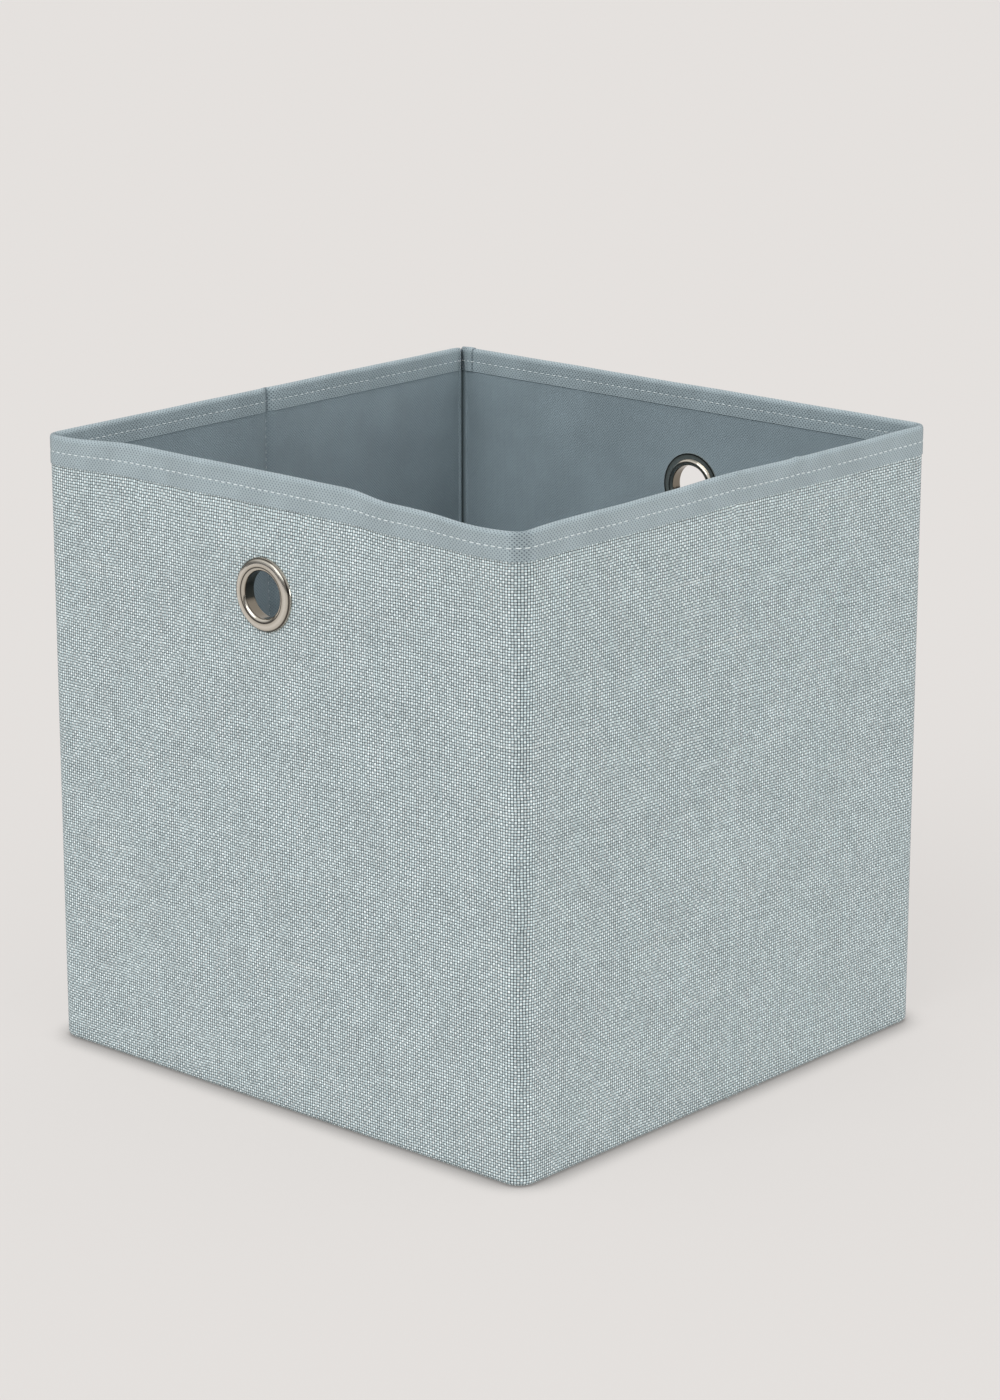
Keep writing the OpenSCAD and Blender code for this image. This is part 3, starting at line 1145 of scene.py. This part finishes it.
def floor_material():
    """A floor that glows evenly, with a small diffuse share so that cast shadows stay faint; near
    the bin its light is darkened by ambient occlusion, a painted contact shadow.
    """
    g = material_graph("studio_floor")
    g.surface([c * FLOOR_SHADED for c in FLOOR[:3]] + [1.0], 1.0, 0.0)
    # Painted contact shadow: ambient occlusion darkens the floor's emission near the bin.
    contact = g.nodes.new("ShaderNodeAmbientOcclusion")
    contact.inputs["Distance"].default_value = 16 * MM
    glow_with_contact_shadow = g.brighter(FLOOR, g.ramp(contact.outputs["AO"], 0.35, 0.95, 0.35, 1.0))
    g.put(g.shader.inputs["Emission Color"], glow_with_contact_shadow)
    g.shader.inputs["Emission Strength"].default_value = FLOOR_GLOW
    return g.owner


bpy.ops.mesh.primitive_plane_add(size=60, location=(0, 0, -0.2 * MM))
floor = bpy.context.object
floor.name = "floor"
floor.data.materials.append(floor_material())

scene = bpy.context.scene
scene.view_settings.view_transform = "Standard"
scene.world = bpy.data.worlds.new("studio")
HORIZON_GLOW = 0.15
OVERHEAD_GLOW = 0.95
sky = Graph(scene.world)
upward = sky.nodes.new("ShaderNodeSeparateXYZ")
sky.links.new(sky.nodes.new("ShaderNodeTexCoord").outputs["Generated"], upward.inputs[0])
strength = sky.ramp(upward.outputs["Z"], 0.1, 0.5, HORIZON_GLOW, OVERHEAD_GLOW)
sky.put(sky.nodes["Background"].inputs["Strength"], strength)
sky.nodes["Background"].inputs["Color"].default_value = (1.0, 1.0, 1.0, 1.0)


def add_sun(name, azimuth, elevation, strength, softness):
    """A soft, slightly cool sun from an azimuth round the object, in degrees."""
    lamp = bpy.data.lights.new(name, "SUN")
    lamp.color = (0.95, 1.0, 1.02)
    lamp.energy = strength
    lamp.angle = math.radians(softness)
    sun = bpy.data.objects.new(name, lamp)
    sun.rotation_euler = (math.radians(90 - elevation), 0, math.radians(azimuth))
    scene.collection.objects.link(sun)


add_sun("key_light", 3, 42, 1.1, 45)
add_sun("fill_light", 88, 4, 0.84, 24)

VIEW_AZIMUTH = 41.55
VIEW_ELEVATION = 15.77
VIEW_DISTANCE = 1.8155
LOOK_AT = Vector((3.4, 3.6, 155.5)) * MM

lens = bpy.data.cameras.new("camera")
lens.sensor_fit = "VERTICAL"
lens.sensor_height = 36
lens.lens = 103.83
camera = bpy.data.objects.new("camera", lens)
azimuth, elevation = math.radians(VIEW_AZIMUTH), math.radians(VIEW_ELEVATION)
back = Vector((math.sin(azimuth), -math.cos(azimuth), 0)) * math.cos(elevation)
camera.location = LOOK_AT + VIEW_DISTANCE * (back + Vector((0, 0, math.sin(elevation))))
camera.rotation_euler = (math.pi / 2 - elevation, 0, azimuth)
scene.collection.objects.link(camera)
scene.camera = camera
